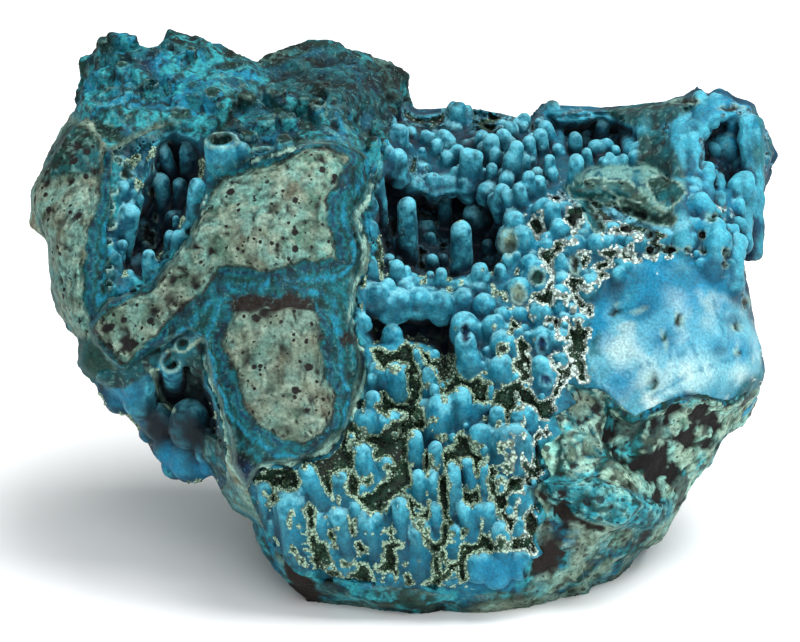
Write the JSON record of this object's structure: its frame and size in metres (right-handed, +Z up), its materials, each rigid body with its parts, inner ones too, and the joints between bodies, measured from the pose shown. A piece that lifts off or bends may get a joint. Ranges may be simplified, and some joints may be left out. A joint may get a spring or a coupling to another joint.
{
  "type": "mineral specimen",
  "caption": "Chrysocolla specimen: broken green-grey host rock with blue stalactitic chrysocolla in its hollows, on a flat base.",
  "frame": {"origin": "centre of the base: middle of the outer box in X and Y, and the flat cut it stands on in Z", "axes": "+X to the right as seen from the display face, the face looks towards -Y and leans back 20 degrees, +Z up"},
  "size_m": [0.1196, 0.0837, 0.0772],
  "materials": {
    "host_rock": "rough broken rock, grey-green and tan, black pits, blue-green veins",
    "front_crust": "velvety blue botryoidal crust with cream-rimmed dark pits",
    "left_pocket_crust": "velvety blue crust",
    "lower_left_crust": "deep blue botryoidal crust"
  },
  "bodies": {
    "root": {"host_rock": "host_rock", "front_crust": "front_crust", "left_pocket_crust": "left_pocket_crust", "lower_left_crust": "lower_left_crust"}
  },
  "joints": []
}
